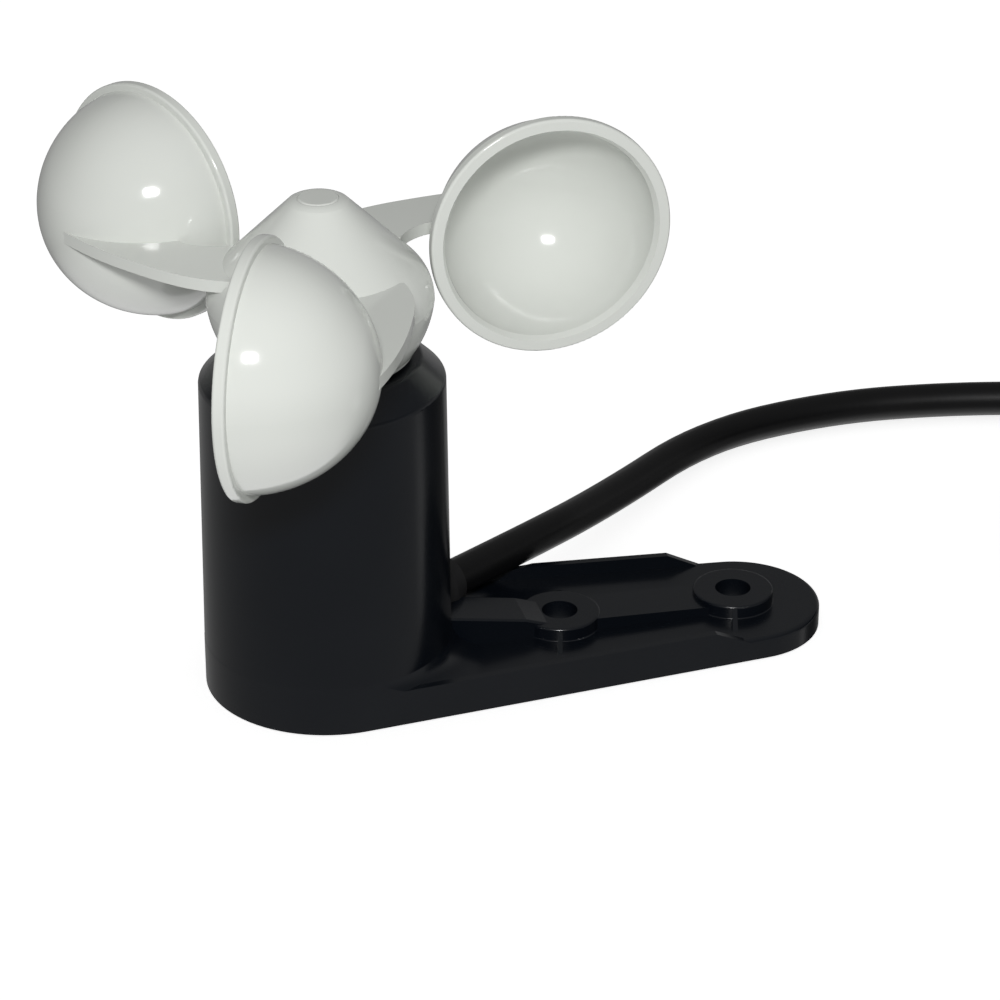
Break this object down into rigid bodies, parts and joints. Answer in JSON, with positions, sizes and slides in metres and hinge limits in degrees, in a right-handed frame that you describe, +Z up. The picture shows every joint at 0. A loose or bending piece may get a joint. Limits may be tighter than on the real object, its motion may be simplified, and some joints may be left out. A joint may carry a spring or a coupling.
{
  "type": "cup anemometer",
  "caption": "Cup anemometer: light grey hemispherical cups on a bell hub over a dark upright housing with a two-hole foot and a long signal cable.",
  "frame": {"origin": "on the rotor's axis, on the face that the foot stands on", "axes": "+Z up along the rotor's axis, +X along the mounting foot towards its round end"},
  "size_m": [0.2641, 0.1259, 0.0966],
  "materials": {
    "body_plastic": "satin, near-black",
    "rotor_plastic": "glossy, light warm grey",
    "cap_plastic": "glossy, light warm grey",
    "cable_jacket": "satin black",
    "grommet_rubber": "matt black",
    "gasket_rubber": "matt black",
    "screw_steel": "plain",
    "bearing_steel": "polished",
    "shaft_steel": "ground",
    "magnet_nickel": "nickel plated",
    "carrier_plastic": "white",
    "board_laminate": "green solder mask",
    "switch_glass": "clear with a green tint",
    "terminal_plastic": "green",
    "core_insulation": "red and black sleeves",
    "ferrule_tin": "tinned copper",
    "tie_strap": "black hook-and-loop strap"
  },
  "bodies": {
    "base": {"housing": "body_plastic", "bottom_cover": "body_plastic", "cover_gasket": "gasket_rubber", "cover_screws": "screw_steel", "cable_grommet": "grommet_rubber", "cable_clamp": "body_plastic", "clamp_screws": "screw_steel", "circuit_board": "board_laminate", "board_screws": "screw_steel", "reed_switch": "switch_glass", "terminal_block": "terminal_plastic", "terminal_screws": "screw_steel", "core_wires": "core_insulation", "upper_bearing_outer_race": "bearing_steel", "upper_bearing_balls": "bearing_steel", "lower_bearing_outer_race": "bearing_steel", "lower_bearing_balls": "bearing_steel", "bearing_shields": "bearing_steel", "bearing_retainer": "shaft_steel", "sensor_cable": "cable_jacket", "cable_coil": "cable_jacket", "coil_tie": "tie_strap", "cable_cores": "core_insulation", "core_ferrules": "ferrule_tin"},
    "rotor": {"rotor_hub": "rotor_plastic", "cup_a": "rotor_plastic", "cup_b": "rotor_plastic", "cup_c": "rotor_plastic", "hub_cap": "cap_plastic", "hub_screw": "screw_steel", "hub_washer": "screw_steel", "shaft": "shaft_steel", "shaft_spacer": "shaft_steel", "shaft_collar": "shaft_steel", "shaft_circlip": "shaft_steel", "upper_bearing_inner_race": "bearing_steel", "lower_bearing_inner_race": "bearing_steel", "magnet_carrier": "carrier_plastic", "sensor_magnets": "magnet_nickel"}
  },
  "joints": [
    {"name": "rotor_spin", "type": "hinge", "parent": "base", "child": "rotor", "pos_m": [0, 0, 0.07], "axis": [0, 0, 1], "continuous": true}
  ]
}
